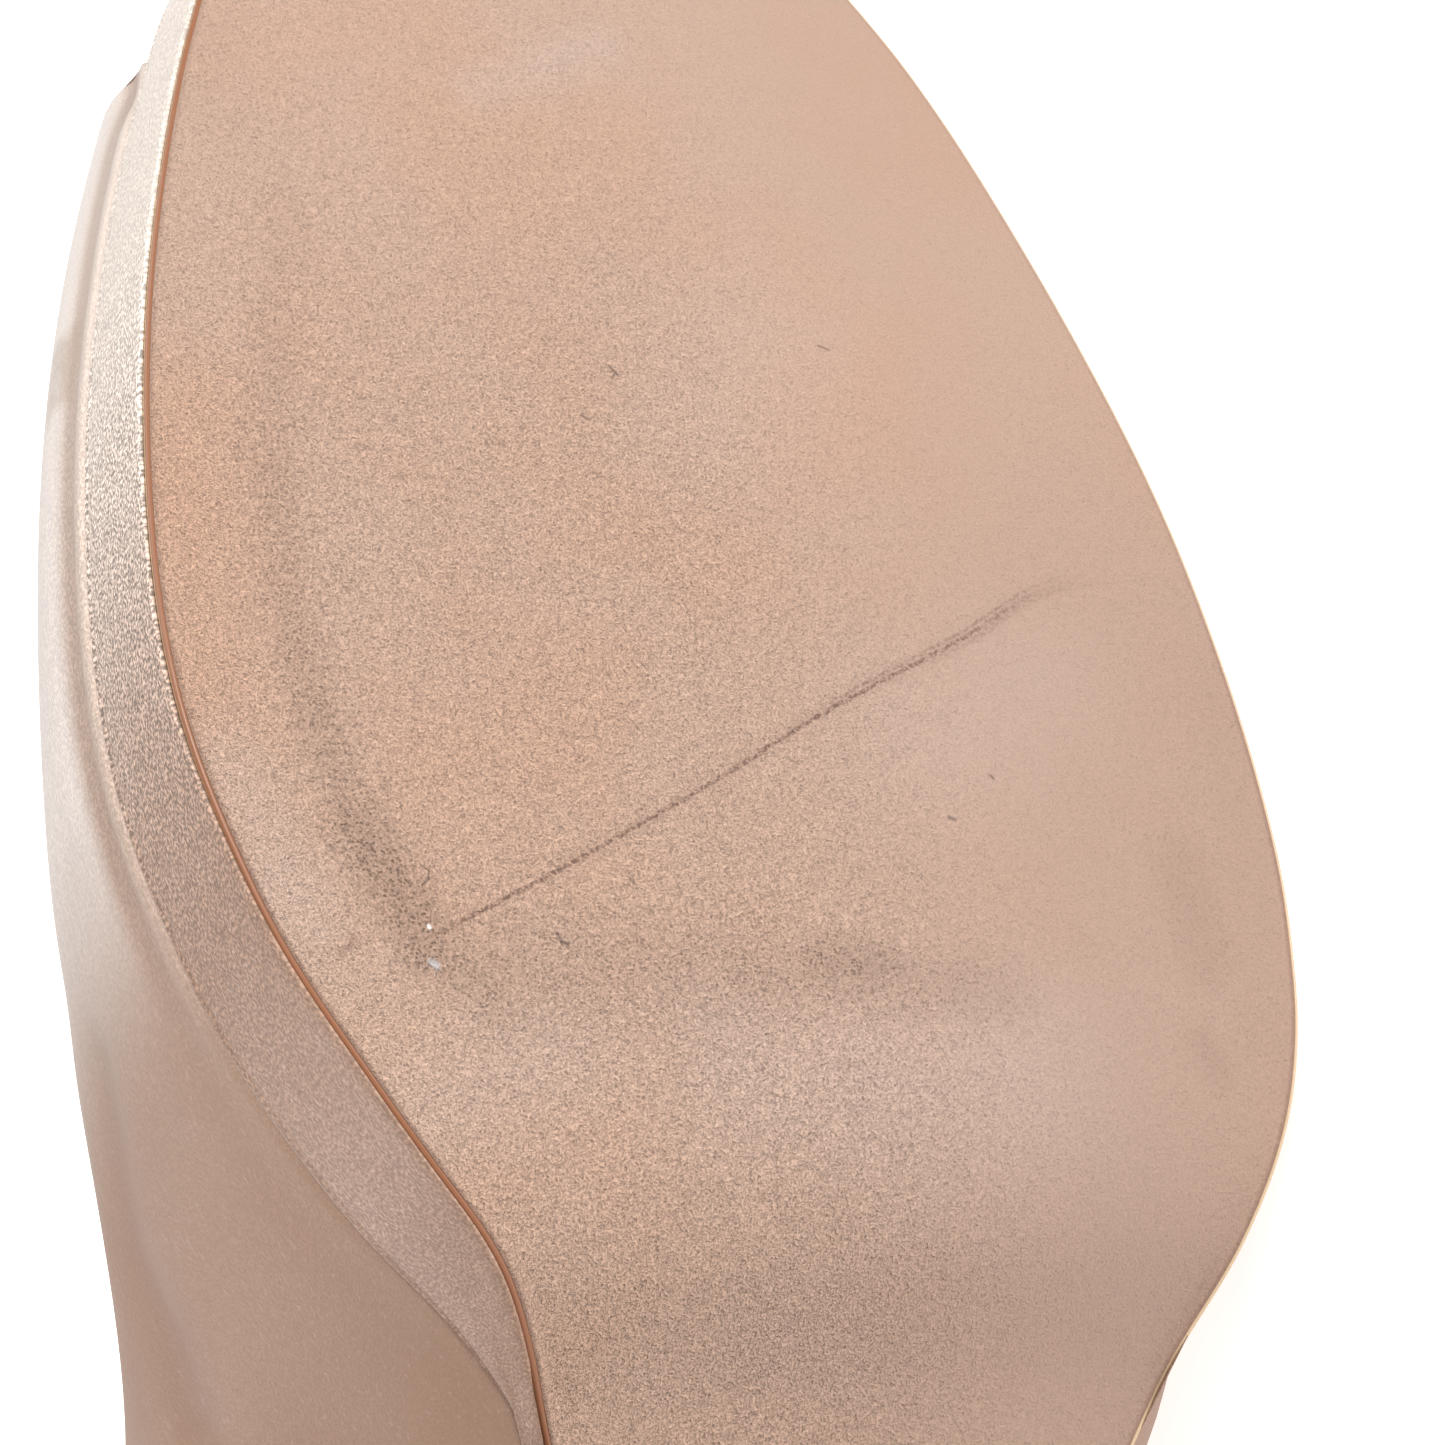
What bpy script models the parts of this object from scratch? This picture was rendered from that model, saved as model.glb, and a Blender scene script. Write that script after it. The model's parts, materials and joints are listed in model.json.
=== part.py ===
"""Peep toe platform pump for the left foot, laid on its outer side.

The shoe is drawn standing: X runs to the medial side, Y to the toe, Z up, with the ground at Z = 0
and the back of the heel seat at Y = 0. An empty then lays the whole shoe on its outer side, on the
three points that it rests on when it is put down there.
"""

import math
from collections import namedtuple

import bmesh
import bpy
from mathutils import Matrix, Vector

# Driving dimensions, in metres
LENGTH = 0.206              # level, from the back of the heel seat to the toe tip
BALL_WIDTH = 0.080          # of the sole at the ball
HEEL_RISE = 0.080           # of the foot's bed, from the ball to the back of the seat
TOE_SPRING = 0.004
SPRING_START = 0.80         # share of the length where the toe starts to lift
PLATFORM_THICK = 0.0109
PLATFORM_EDGE = 0.0004      # where the tapering platform is cut off at its rear
OUTSOLE_THICK = 0.0014
INSOLE_THICK = 0.0020
UPPER_WALL = 0.0015
SEAM_GAP = 0.0003           # between pieces that are cemented together
SOLE_INSET = 0.0005         # of the outsole's and the heel's edge from the feather line
COUNTER_HEIGHT = 0.058      # of the upper at the back, above the bed
THROAT_HEIGHT = 0.039       # of the upper at the throat, above the bed
TOPLINE_SAG = 0.015         # of the topline under a straight line from counter to throat
OUTER_SAG = 0.0165          # the same on the outer side, which is cut lower
PEEP_CORNER = 0.0152        # from the toe tip back to the corners of the toe opening
PEEP_SETBACK = 0.0210       # from the toe tip back to the middle of the opening's edge
HEEL_SEAT = 0.040           # level length of the heel's seat
TOP_LIFT_LENGTH = 0.0105
TOP_LIFT_WIDTH = 0.0100
TOP_LIFT_THICK = 0.0050
TOP_LIFT_BACK = 0.0145      # from the back of the seat forward to the back of the top lift
BREAST_HOLLOW = 0.0025      # of the heel's front face, at the seat
HOLLOW_START = 0.1          # share of the heel's height by which that hollow is fully there

SATIN = (0.63, 0.51, 0.42)
LEATHER = (0.66, 0.43, 0.31)
LIFT_COLOUR = (0.45, 0.33, 0.25)
SHARP_EDGE = 35.0           # degrees between two faces that meet in a sharp edge

# Mean densities of the pieces in kg per cubic metre, which settle how the shoe lies. The heel is wood.
DENSITY = {"outsole": 900.0, "platform": 300.0, "insole": 900.0,
           "upper": 300.0, "heel": 600.0, "top_lift": 1200.0}
SAME_PLANE = 0.5            # degrees between hull faces that count as one resting face

# Stations from toe to heel. along is a share of LENGTH, medial and lateral are shares of BALL_WIDTH.
Station = namedtuple("Station", "along medial lateral")
OUTLINE = [
    Station(1.000, 0.000, 0.000),
    Station(0.968, 0.224, 0.219),
    Station(0.898, 0.340, 0.328),
    Station(0.802, 0.438, 0.408),
    Station(0.709, 0.496, 0.463),
    Station(0.631, 0.515, 0.483),
    Station(0.561, 0.491, 0.481),
    Station(0.510, 0.449, 0.461),
    Station(0.466, 0.388, 0.431),
    Station(0.428, 0.308, 0.385),
    Station(0.396, 0.250, 0.331),
    Station(0.342, 0.210, 0.269),
    Station(0.265, 0.219, 0.256),
    Station(0.173, 0.255, 0.300),
    Station(0.092, 0.272, 0.302),
    Station(0.025, 0.194, 0.194),
    Station(0.000, 0.000, 0.000),
]

# Rays of the upper, one for every second station. The top is a point of the topline: along is a share
# of LENGTH, medial and lateral of BALL_WIDTH, sag of the topline's sag. The ray leaves the feather line
# by low_out and low_up and reaches the topline by high_out and high_down, shares of COUNTER_HEIGHT.
Ray = namedtuple("Ray", "along medial lateral sag low_out low_up high_out high_down")
RAYS = [
    Ray(0.680, 0.000, 0.000, 0.00, 0.080, 0.205, 0.560, 0.230),
    Ray(0.670, 0.119, 0.119, 0.07, 0.090, 0.220, 0.430, 0.215),
    Ray(0.624, 0.255, 0.250, 0.33, 0.055, 0.270, 0.230, 0.225),
    Ray(0.541, 0.330, 0.380, 0.66, 0.035, 0.400, 0.170, 0.290),
    Ray(0.451, 0.378, 0.376, 0.96, 0.085, 0.350, 0.090, 0.345),
    Ray(0.374, 0.368, 0.362, 0.98, 0.140, 0.300, 0.035, 0.380),
    Ray(0.233, 0.312, 0.305, 0.60, 0.125, 0.200, 0.030, 0.345),
    Ray(0.078, 0.230, 0.225, 0.07, 0.085, 0.130, 0.040, 0.310),
    Ray(0.005, 0.000, 0.000, 0.00, 0.075, 0.250, 0.060, 0.345),
]

# The bed from heel to toe: rise is a share of HEEL_RISE, stack of the platform's thickness
Level = namedtuple("Level", "along rise stack")
PROFILE = [
    Level(0.000, 1.0000, 0.00),
    Level(0.058, 0.9560, 0.00),
    Level(0.117, 0.8690, 0.00),
    Level(0.175, 0.7375, 0.00),
    Level(0.233, 0.5690, 0.00),
    Level(0.291, 0.3810, 0.00),
    Level(0.340, 0.2250, 0.00),
    Level(0.379, 0.1190, 0.00),
    Level(0.401, 0.0690, 0.01),
    Level(0.416, 0.0440, 0.23),
    Level(0.428, 0.0290, 0.49),
    Level(0.442, 0.0170, 0.72),
    Level(0.457, 0.0100, 0.86),
    Level(0.476, 0.0050, 0.95),
    Level(0.505, 0.0000, 1.00),
    Level(1.000, 0.0000, 1.00),
]

# The heel from seat to ground: down is a share of its height, back, front and width say how far each
# has gone from the seat's size, 0, to the top lift's, 1
Waist = namedtuple("Waist", "down back front width")
HEEL = [
    Waist(0.00, 0.00, 0.00, 0.00),
    Waist(0.06, 0.02, 0.08, 0.04),
    Waist(0.15, 0.14, 0.34, 0.21),
    Waist(0.28, 0.38, 0.66, 0.50),
    Waist(0.42, 0.62, 0.85, 0.74),
    Waist(0.58, 0.81, 0.95, 0.88),
    Waist(0.78, 0.94, 0.99, 0.97),
    Waist(1.00, 1.00, 1.00, 1.00),
]

HALF_TURN = len(OUTLINE) - 1
FULL_TURN = 2 * HALF_TURN
SOLE_STEPS = 6              # strips of a sole between two stations
PEEP_STEPS = 8              # rays from the toe to a corner of the opening
SIDE_STEPS = 38             # rays from a corner of the opening to the heel's back
RAY_STEPS = 12
HEEL_ROWS = 16
HEEL_SIDE_STEPS = 12
BREAST_STEPS = 6

# Fine steps of the searches and slopes
TURN_STEP = 0.01
SLOPE_STEP = 0.0005
REAR_STEP = 0.0002
SHARE_STEP = 0.002
MEETING = 1e-6              # two sides nearer than this meet in one point


def steady(rows, column, at):
    """Read a column of a table between its rows, by a curve that never overshoots them."""
    last = len(rows) - 1
    index = 0
    while index < last - 1 and at > rows[index + 1][0]:
        index += 1

    def slope(i):
        return (getattr(rows[i + 1], column) - getattr(rows[i], column)) / (rows[i + 1][0] - rows[i][0])

    def tangent(i):
        if i == 0 or i == last:
            return 0.0
        before = slope(i - 1)
        after = slope(i)
        if before * after <= 0.0:
            return 0.0
        return 2.0 * before * after / (before + after)

    span = rows[index + 1][0] - rows[index][0]
    t = min(max((at - rows[index][0]) / span, 0.0), 1.0)
    start = getattr(rows[index], column)
    end = getattr(rows[index + 1], column)
    return ((2 * t ** 3 - 3 * t ** 2 + 1) * start + (t ** 3 - 2 * t ** 2 + t) * span * tangent(index)
            + (3 * t ** 2 - 2 * t ** 3) * end + (t ** 3 - t ** 2) * span * tangent(index + 1))


def around(points, turn):
    """Read a closed ring of points between its members, by a smooth curve through all of them."""
    count = len(points)
    index = math.floor(turn)
    t = turn - index
    a, b, c, d = (points[(index + step) % count] for step in (-1, 0, 1, 2))
    return 0.5 * (2 * b + (c - a) * t + (2 * a - 5 * b + 4 * c - d) * t ** 2
                  + (3 * b - a - 3 * c + d) * t ** 3)


def ring_of(rows, make):
    """Both sides of a table as one closed ring: down the medial side and back up the lateral one."""
    medial = [make(row, 1) for row in rows]
    lateral = [make(row, -1) for row in rows[-2:0:-1]]
    return medial + lateral


def half_width(row, side):
    return row.medial * BALL_WIDTH if side > 0 else -row.lateral * BALL_WIDTH


OUTLINE_RING = ring_of(OUTLINE, lambda row, side: Vector((half_width(row, side), row.along * LENGTH)))


def outline(turn, inset=0.0):
    """The feather line in plan at a turn from 0, the toe, over HALF_TURN, the heel's back, and back."""
    point = around(OUTLINE_RING, turn)
    return point - inset * outward(turn) if inset else point


def outward(turn):
    """The level direction that points straight out of the outline."""
    run = around(OUTLINE_RING, turn + TURN_STEP) - around(OUTLINE_RING, turn - TURN_STEP)
    return Vector((-run.y, run.x)).normalized()


def turn_at(y, first=0.0, last=float(HALF_TURN)):
    """The turn on the medial side where the outline passes a distance from the heel's back."""
    for _ in range(50):
        middle = 0.5 * (first + last)
        if outline(middle).y > y:
            first = middle
        else:
            last = middle
    return 0.5 * (first + last)


def spring(y):
    """How far the toe lifts off the ground."""
    share = max(0.0, (y / LENGTH - SPRING_START) / (1.0 - SPRING_START))
    return TOE_SPRING * share ** 2


def bed(y):
    """Height of the last's bottom, on which insole and upper stand."""
    stack = OUTSOLE_THICK + PLATFORM_THICK + 2 * SEAM_GAP
    return stack + HEEL_RISE * steady(PROFILE, "rise", y / LENGTH) + spring(y)


def upright(surface, y, thickness):
    """The upright measure of a thickness that lies square to a sloping surface."""
    slope = (surface(y + SLOPE_STEP) - surface(y - SLOPE_STEP)) / (2 * SLOPE_STEP)
    return thickness * math.hypot(1.0, slope)


def outsole_top(y):
    platform = (PLATFORM_THICK + SEAM_GAP) * steady(PROFILE, "stack", y / LENGTH)
    return bed(y) - upright(bed, y, SEAM_GAP) - platform


def outsole_bottom(y):
    return outsole_top(y) - upright(outsole_top, y, OUTSOLE_THICK)


def platform_top(y):
    return bed(y) - upright(bed, y, SEAM_GAP)


def platform_bottom(y):
    return outsole_top(y) + upright(outsole_top, y, SEAM_GAP)


def insole_top(y):
    return bed(y) + upright(bed, y, INSOLE_THICK)


def platform_rear():
    """Where the tapering platform is down to its edge's thickness, from the heel's back."""
    y = 0.5 * LENGTH
    while platform_top(y) - platform_bottom(y) > PLATFORM_EDGE:
        y -= REAR_STEP
    return y


def add_object(name, mesh_data, colour, roughness, parent, origin=Vector((0.0, 0.0, 0.0))):
    """A smooth shaded object with a material of its own, whose mesh is given from the shoe's origin."""
    mesh = bpy.data.meshes.new(name)
    corners, faces = mesh_data
    mesh.from_pydata([corner - origin for corner in corners], [], faces)
    shape = bmesh.new()
    shape.from_mesh(mesh)
    bmesh.ops.recalc_face_normals(shape, faces=shape.faces)
    shape.to_mesh(mesh)
    shape.free()
    mesh.shade_smooth()
    mesh.set_sharp_from_angle(angle=math.radians(SHARP_EDGE))
    material = bpy.data.materials.new(name)
    material.use_nodes = True
    shader = material.node_tree.nodes["Principled BSDF"]
    shader.inputs["Base Color"].default_value = (*colour, 1.0)
    shader.inputs["Roughness"].default_value = roughness
    shader.inputs["Metallic"].default_value = 0.0
    mesh.materials.append(material)
    thing = bpy.data.objects.new(name, mesh)
    bpy.context.scene.collection.objects.link(thing)
    thing.parent = parent
    thing.location = origin
    return thing


def sole_layer(lower, upper, inset, turns):
    """A sole piece between two level-across surfaces, in strips from the first turn to the last."""
    corners = []
    pairs = []
    for turn in turns:
        medial = outline(turn, inset)
        lateral = outline(FULL_TURN - turn, inset)
        ends = [medial] if abs(medial.x - lateral.x) < MEETING else [medial, lateral]
        pairs.append([(len(corners) + 2 * i, len(corners) + 2 * i + 1) for i in range(len(ends))])
        for end in ends:
            corners.append(Vector((end.x, end.y, lower(end.y))))
            corners.append(Vector((end.x, end.y, upper(end.y))))
    faces = []
    for near, far in zip(pairs, pairs[1:]):
        for side in (0, 1):
            level = [near[0][side], near[-1][side], far[-1][side], far[0][side]]
            faces.append(tuple(dict.fromkeys(level)))
        for end in (0, -1):
            faces.append((near[end][0], near[end][1], far[end][1], far[end][0]))
    for end in (pairs[0], pairs[-1]):
        if len(end) == 2:
            faces.append((end[0][0], end[0][1], end[1][1], end[1][0]))
    return corners, faces


def sole_turns(first, last):
    """Even turns from one to the other, with the strips that SOLE_STEPS gives each station."""
    count = max(2, round((last - first) * SOLE_STEPS))
    return [first + (last - first) * i / count for i in range(count + 1)]


def topline_height(y, sag, side):
    """Height of the topline: a straight line from the counter to the throat, less the sag."""
    back = RAYS[-1].along * LENGTH
    front = RAYS[0].along * LENGTH
    back_height = bed(0.0) + COUNTER_HEIGHT
    front_height = bed(front) + THROAT_HEIGHT
    share = (y - back) / (front - back)
    deepest = TOPLINE_SAG if side > 0 else OUTER_SAG
    return back_height + share * (front_height - back_height) - sag * deepest


TOP_RING = ring_of(RAYS, lambda row, side: Vector((
    half_width(row, side), row.along * LENGTH, topline_height(row.along * LENGTH, row.sag, side))))
LOW_RING = ring_of(RAYS, lambda row, side: Vector((row.low_out, row.low_up)) * COUNTER_HEIGHT)
HIGH_RING = ring_of(RAYS, lambda row, side: Vector((row.high_out, -row.high_down)) * COUNTER_HEIGHT)


def upper_point(turn, share):
    """A point of the upper's outer face: on the feather line at share 0, on the topline at share 1."""
    foot = outline(turn)
    out = outward(turn)
    coarse = turn * (len(TOP_RING) / FULL_TURN)
    start = Vector((foot.x, foot.y, bed(foot.y)))
    end = around(TOP_RING, coarse)
    low = around(LOW_RING, coarse)
    high = around(HIGH_RING, coarse)
    first = start + Vector((out.x * low.x, out.y * low.x, low.y))
    second = end + Vector((out.x * high.x, out.y * high.x, high.y))
    rest = 1.0 - share
    return (rest ** 3 * start + 3 * rest ** 2 * share * first
            + 3 * rest * share ** 2 * second + share ** 3 * end)


def upper_normal(turn, share):
    """The direction that points straight out of the upper's outer face."""
    below = max(share - TURN_STEP, 0.0)
    above = min(share + TURN_STEP, 1.0)
    ahead = upper_point(turn + TURN_STEP, share) - upper_point(turn - TURN_STEP, share)
    up = upper_point(turn, above) - upper_point(turn, below)
    return up.cross(ahead).normalized()


def peep_share():
    """The share of the toe's ray at which the opening's edge has its set-back."""
    share = 0.0
    while upper_point(0.0, share).y > LENGTH - PEEP_SETBACK:
        share += SHARE_STEP
    return share


def upper_turns(corner):
    """Turns of the rays on the medial side, closer together along the toe opening."""
    toe = [corner * math.sin(0.5 * math.pi * i / PEEP_STEPS) for i in range(PEEP_STEPS + 1)]
    side = [corner + (HALF_TURN - corner) * i / SIDE_STEPS for i in range(1, SIDE_STEPS + 1)]
    return toe + side


def upper_shell():
    """The lasted upper, one wall from the feather line and the toe opening to the topline."""
    corner = turn_at(LENGTH - PEEP_CORNER)
    cut = peep_share()
    medial = upper_turns(corner)
    turns = medial + [FULL_TURN - turn for turn in medial[-2:0:-1]]
    outer = []
    inner = []
    for turn in turns:
        from_toe = min(turn, FULL_TURN - turn)
        opens = from_toe < corner
        start = cut * math.sqrt(1.0 - (from_toe / corner) ** 2) if opens else 0.0
        for step in range(RAY_STEPS + 1):
            share = start + (1.0 - start) * step / RAY_STEPS
            face = upper_point(turn, share)
            back = face - UPPER_WALL * upper_normal(turn, share)
            if step == 0 and not opens:
                level = outline(turn, UPPER_WALL)
                back = Vector((level.x, level.y, bed(level.y)))
            outer.append(face)
            inner.append(back)
    corners = outer + inner
    row = RAY_STEPS + 1
    faces = []
    for i in range(len(turns)):
        here = i * row
        there = (i + 1) % len(turns) * row
        for step in range(RAY_STEPS):
            a, b, c, d = here + step, here + step + 1, there + step + 1, there + step
            faces.append((a, b, c, d))
            faces.append(tuple(len(outer) + corner_index for corner_index in (d, c, b, a)))
        for rim in (0, RAY_STEPS):
            faces.append((here + rim, there + rim, len(outer) + there + rim, len(outer) + here + rim))
    return corners, faces


def heel_loop(down):
    """A ring of the heel at a share of its height: the seat's outline drawn in towards the top lift."""
    breast = turn_at(HEEL_SEAT)
    seat = []
    for i in range(HEEL_SIDE_STEPS + 1):
        turn = breast + (FULL_TURN - 2 * breast) * i / HEEL_SIDE_STEPS
        seat.append(outline(turn, SOLE_INSET))
    across = [seat[-1].lerp(seat[0], i / BREAST_STEPS) for i in range(1, BREAST_STEPS)]
    widest = max(point.x for point in seat) - min(point.x for point in seat)
    back = steady(HEEL, "back", down) * TOP_LIFT_BACK
    front = HEEL_SEAT + steady(HEEL, "front", down) * (TOP_LIFT_BACK + TOP_LIFT_LENGTH - HEEL_SEAT)
    width = widest + steady(HEEL, "width", down) * (TOP_LIFT_WIDTH - widest)
    tip = TOP_LIFT_THICK + SEAM_GAP
    ring = []
    for point in seat + across:
        x = point.x * width / widest
        y = back + (point.y - SOLE_INSET) * (front - back) / (HEEL_SEAT - SOLE_INSET)
        if point in across:
            hollow = BREAST_HOLLOW * (1.0 - down) * min(1.0, down / HOLLOW_START)
            y -= hollow * (1.0 - (2 * x / width) ** 2)
        top = platform_top(point.y)
        ring.append(Vector((x, y, top + (tip - top) * down)))
    return ring


def stacked(rings):
    """A closed body through rings of equal length, capped by its first and last."""
    count = len(rings[0])
    corners = [corner for ring in rings for corner in ring]
    faces = [tuple(range(count)), tuple(range(len(corners) - count, len(corners)))]
    for level in range(len(rings) - 1):
        for i in range(count):
            j = (i + 1) % count
            faces.append((level * count + i, level * count + j,
                          (level + 1) * count + j, (level + 1) * count + i))
    return corners, faces


def seat_cap():
    """Strips across the seat, which slopes along the shoe and is level across it."""
    side = HEEL_SIDE_STEPS
    strips = [(i, i + 1, side - i - 1, side - i) for i in range(side // 2 - 1)]
    return strips + [(side // 2 - 1, side // 2, side // 2 + 1)]


def heel_body():
    """The heel from its seat, capped strip by strip, to the flat that the top lift meets."""
    rings = [heel_loop(i / HEEL_ROWS) for i in range(HEEL_ROWS + 1)]
    corners, faces = stacked(rings)
    across = tuple(range(HEEL_SIDE_STEPS, len(rings[0]))) + (0,)
    return corners, [faces[1], across] + seat_cap() + faces[2:]


def top_lift_body():
    """The ground piece, as wide as the heel's tip all the way down."""
    ring = heel_loop(1.0)
    low = [Vector((point.x, point.y, 0.0)) for point in ring]
    high = [Vector((point.x, point.y, TOP_LIFT_THICK)) for point in ring]
    return stacked([low, high])


def mass_and_moment(thing):
    """Mass of a piece, and its mass times the place of its centre."""
    shape = bmesh.new()
    shape.from_mesh(thing.data)
    bmesh.ops.triangulate(shape, faces=shape.faces)
    mass = 0.0
    moment = Vector((0.0, 0.0, 0.0))
    for face in shape.faces:
        a, b, c = (thing.location + corner.co for corner in face.verts)
        share = DENSITY[thing.name] * a.dot(b.cross(c)) / 6.0
        mass += share
        moment += share * (a + b + c) / 4.0
    shape.free()
    return mass, moment


def resting_normal(things):
    """The way down for the shoe as it lies stably on its outer side."""
    total = 0.0
    moment = Vector((0.0, 0.0, 0.0))
    hull = bmesh.new()
    for thing in things:
        mass, part = mass_and_moment(thing)
        total += mass
        moment += part
        for corner in thing.data.vertices:
            hull.verts.new(thing.location + corner.co)
    centre = moment / total
    bmesh.ops.convex_hull(hull, input=hull.verts)
    flat = math.radians(SAME_PLANE)
    bmesh.ops.dissolve_limit(hull, angle_limit=flat, verts=hull.verts, edges=hull.edges)
    best = Vector((1.0, 0.0, 0.0))
    for face in hull.faces:
        normal = face.normal
        if normal.dot(face.calc_center_median() - centre) < 0.0:
            normal = -normal
        inside = all(
            (loop.link_loop_next.vert.co - loop.vert.co).cross(face.normal).dot(centre - loop.vert.co) <= 0.0
            for loop in face.loops)
        if inside and normal.x < best.x:
            best = normal.copy()
    hull.free()
    return best


def lay_down(shoe, things):
    """Turn the shoe so that it rests on its outer side, toe towards +Y, over the middle of its box."""
    up = -resting_normal(things)
    toe = Vector((0.0, 1.0, 0.0))
    ahead = (toe - toe.dot(up) * up).normalized()
    turn = Matrix((ahead.cross(up), ahead, up))
    corners = [turn @ (thing.location + corner.co) for thing in things for corner in thing.data.vertices]
    low = Vector([min(corner[axis] for corner in corners) for axis in range(3)])
    high = Vector([max(corner[axis] for corner in corners) for axis in range(3)])
    shoe.rotation_euler = turn.to_euler()
    shoe.location = (-0.5 * (low.x + high.x), -0.5 * (low.y + high.y), -low.z)


def build():
    for thing in list(bpy.data.objects):
        bpy.data.objects.remove(thing)
    shoe = bpy.data.objects.new("shoe", None)
    bpy.context.scene.collection.objects.link(shoe)
    outsole = sole_layer(outsole_bottom, outsole_top, SOLE_INSET, sole_turns(0.0, turn_at(HEEL_SEAT + SEAM_GAP)))
    platform = sole_layer(platform_bottom, platform_top, 0.0, sole_turns(0.0, turn_at(platform_rear())))
    insole = sole_layer(bed, insole_top, UPPER_WALL + SEAM_GAP, sole_turns(0.0, HALF_TURN))
    tip = Vector((0.0, TOP_LIFT_BACK + 0.5 * TOP_LIFT_LENGTH, 0.0))
    things = [
        add_object("outsole", outsole, LEATHER, 0.55, shoe),
        add_object("platform", platform, SATIN, 0.38, shoe),
        add_object("insole", insole, LEATHER, 0.50, shoe),
        add_object("upper", upper_shell(), SATIN, 0.38, shoe),
        add_object("heel", heel_body(), SATIN, 0.38, shoe, tip),
        add_object("top_lift", top_lift_body(), LIFT_COLOUR, 0.50, shoe, tip),
    ]
    lay_down(shoe, things)


build()
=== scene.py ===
"""Looks of a left peep toe pump in champagne satin, lying on its outer side."""

import json
import math

import bmesh
import bpy
import numpy as np
from mathutils import Matrix, Vector
from mathutils.kdtree import KDTree


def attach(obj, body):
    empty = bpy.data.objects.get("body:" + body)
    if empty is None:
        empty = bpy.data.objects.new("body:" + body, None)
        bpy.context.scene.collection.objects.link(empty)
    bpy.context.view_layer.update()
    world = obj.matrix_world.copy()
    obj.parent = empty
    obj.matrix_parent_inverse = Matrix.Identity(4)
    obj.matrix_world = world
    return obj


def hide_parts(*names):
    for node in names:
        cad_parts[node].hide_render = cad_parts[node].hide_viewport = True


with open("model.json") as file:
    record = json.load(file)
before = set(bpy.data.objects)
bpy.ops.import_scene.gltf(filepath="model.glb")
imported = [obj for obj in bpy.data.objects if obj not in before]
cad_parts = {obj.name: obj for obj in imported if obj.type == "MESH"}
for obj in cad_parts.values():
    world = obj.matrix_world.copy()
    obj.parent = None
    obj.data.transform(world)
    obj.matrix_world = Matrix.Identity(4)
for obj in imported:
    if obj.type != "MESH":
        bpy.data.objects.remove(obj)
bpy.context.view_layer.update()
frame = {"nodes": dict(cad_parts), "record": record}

# The outsole is a sheet of nude sole leather, cemented under the platform and up the shank to the heel's
# breast. Its edge is trimmed, rounded and painted brown, and its tread is worn, scratched and soiled.
# The shoe is measured as it stands: X to the inner side, Y from the seat's back to the toe, Z up.

HEEL_MARK = 0.01975      # from the back of the seat to the middle of the top lift, in metres
MID_LENGTH = 0.1         # under the arch, between a sole's toe end and its heel end
ON_MIDDLE = 5e-5         # how near a sole's middle line a corner counts as on it
SOLE_THICKNESS = 0.0014
marks = {mount["name"]: mount for mount in frame["record"]["mounts"]}
ground = Vector(marks["heel_ground"]["axis"]).normalized()
lift_middle = np.array(marks["heel_ground"]["pos_m"])
toe_way = (Vector(marks["tread_ground"]["pos_m"]) - Vector(marks["heel_ground"]["pos_m"])).normalized()
shoe_axes = np.array((toe_way.cross(-ground), toe_way, -ground))
lift_stands_at = np.array((0.0, HEEL_MARK, 0.0))


def standing(points):
    """Points of the shoe as it lies, given as it stands."""
    return (np.asarray(points, float) - lift_middle) @ shoe_axes.T + lift_stands_at


def lying(points):
    """Points of the shoe as it stands, given as it lies."""
    return (np.asarray(points, float) - lift_stands_at) @ shoe_axes + lift_middle


def smooth_run(points, times):
    """More points along a run, by a smooth curve through all of them."""
    padded = np.vstack((2 * points[:1] - points[1:2], points, 2 * points[-1:] - points[-2:-1]))
    count = len(points) - 1
    at = np.linspace(0.0, count, count * times + 1)
    index = np.minimum(at.astype(int), count - 1)
    t = (at - index)[:, None]
    a, b, c, d = (padded[index + step] for step in range(4))
    return 0.5 * (2 * b + (c - a) * t + (2 * a - 5 * b + 4 * c - d) * t ** 2
                  + (3 * b - a - 3 * c + d) * t ** 3)


def eased_rise(run):
    """The same run with its height smoothed over a few millimetres."""
    for turn in range(30):
        run[1:-1, 2] = 0.25 * run[:-2, 2] + 0.5 * run[1:-1, 2] + 0.25 * run[2:, 2]
    return run


def sole_rings(name, times, columns):
    """Lower and upper edge of a sole node as closed rings: toe, inner side, rear, outer side."""
    corners = np.array([vertex.co for vertex in frame["nodes"][name].data.vertices], np.float32)
    corners = standing(np.unique(np.round(corners, 6), axis=0))
    middle = corners[np.argmax(corners[:, 1]), 0]
    tips = corners[np.abs(corners[:, 0] - middle) < ON_MIDDLE]
    toe = tips[tips[:, 1] > MID_LENGTH]
    heel = tips[tips[:, 1] < MID_LENGTH]
    sides = []
    for side in (1.0, -1.0):
        own = corners[(corners[:, 0] - middle) * side >= ON_MIDDLE]
        own = own[np.argsort(-own[:, 1])].reshape(-1, 2, 3)
        own = np.array([toe] + list(own) + ([heel] if len(heel) == 2 else []))
        own = np.array([pair[np.argsort(pair[:, 2])] for pair in own])
        sides.append([eased_rise(smooth_run(own[:, level], times)) for level in (0, 1)])
    rings = []
    for inner, outer in zip(*sides):
        last = len(inner) - 1
        if len(heel) == 2:
            rings.append(np.vstack((inner, outer[last - 1:0:-1])))
        else:
            share = (np.arange(1, columns) / columns)[:, None]
            across = inner[last] * (1 - share) + outer[last] * share
            rings.append(np.vstack((inner, across, outer[last:0:-1])))
    return rings[0], rings[1], last, len(heel) == 2


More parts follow.
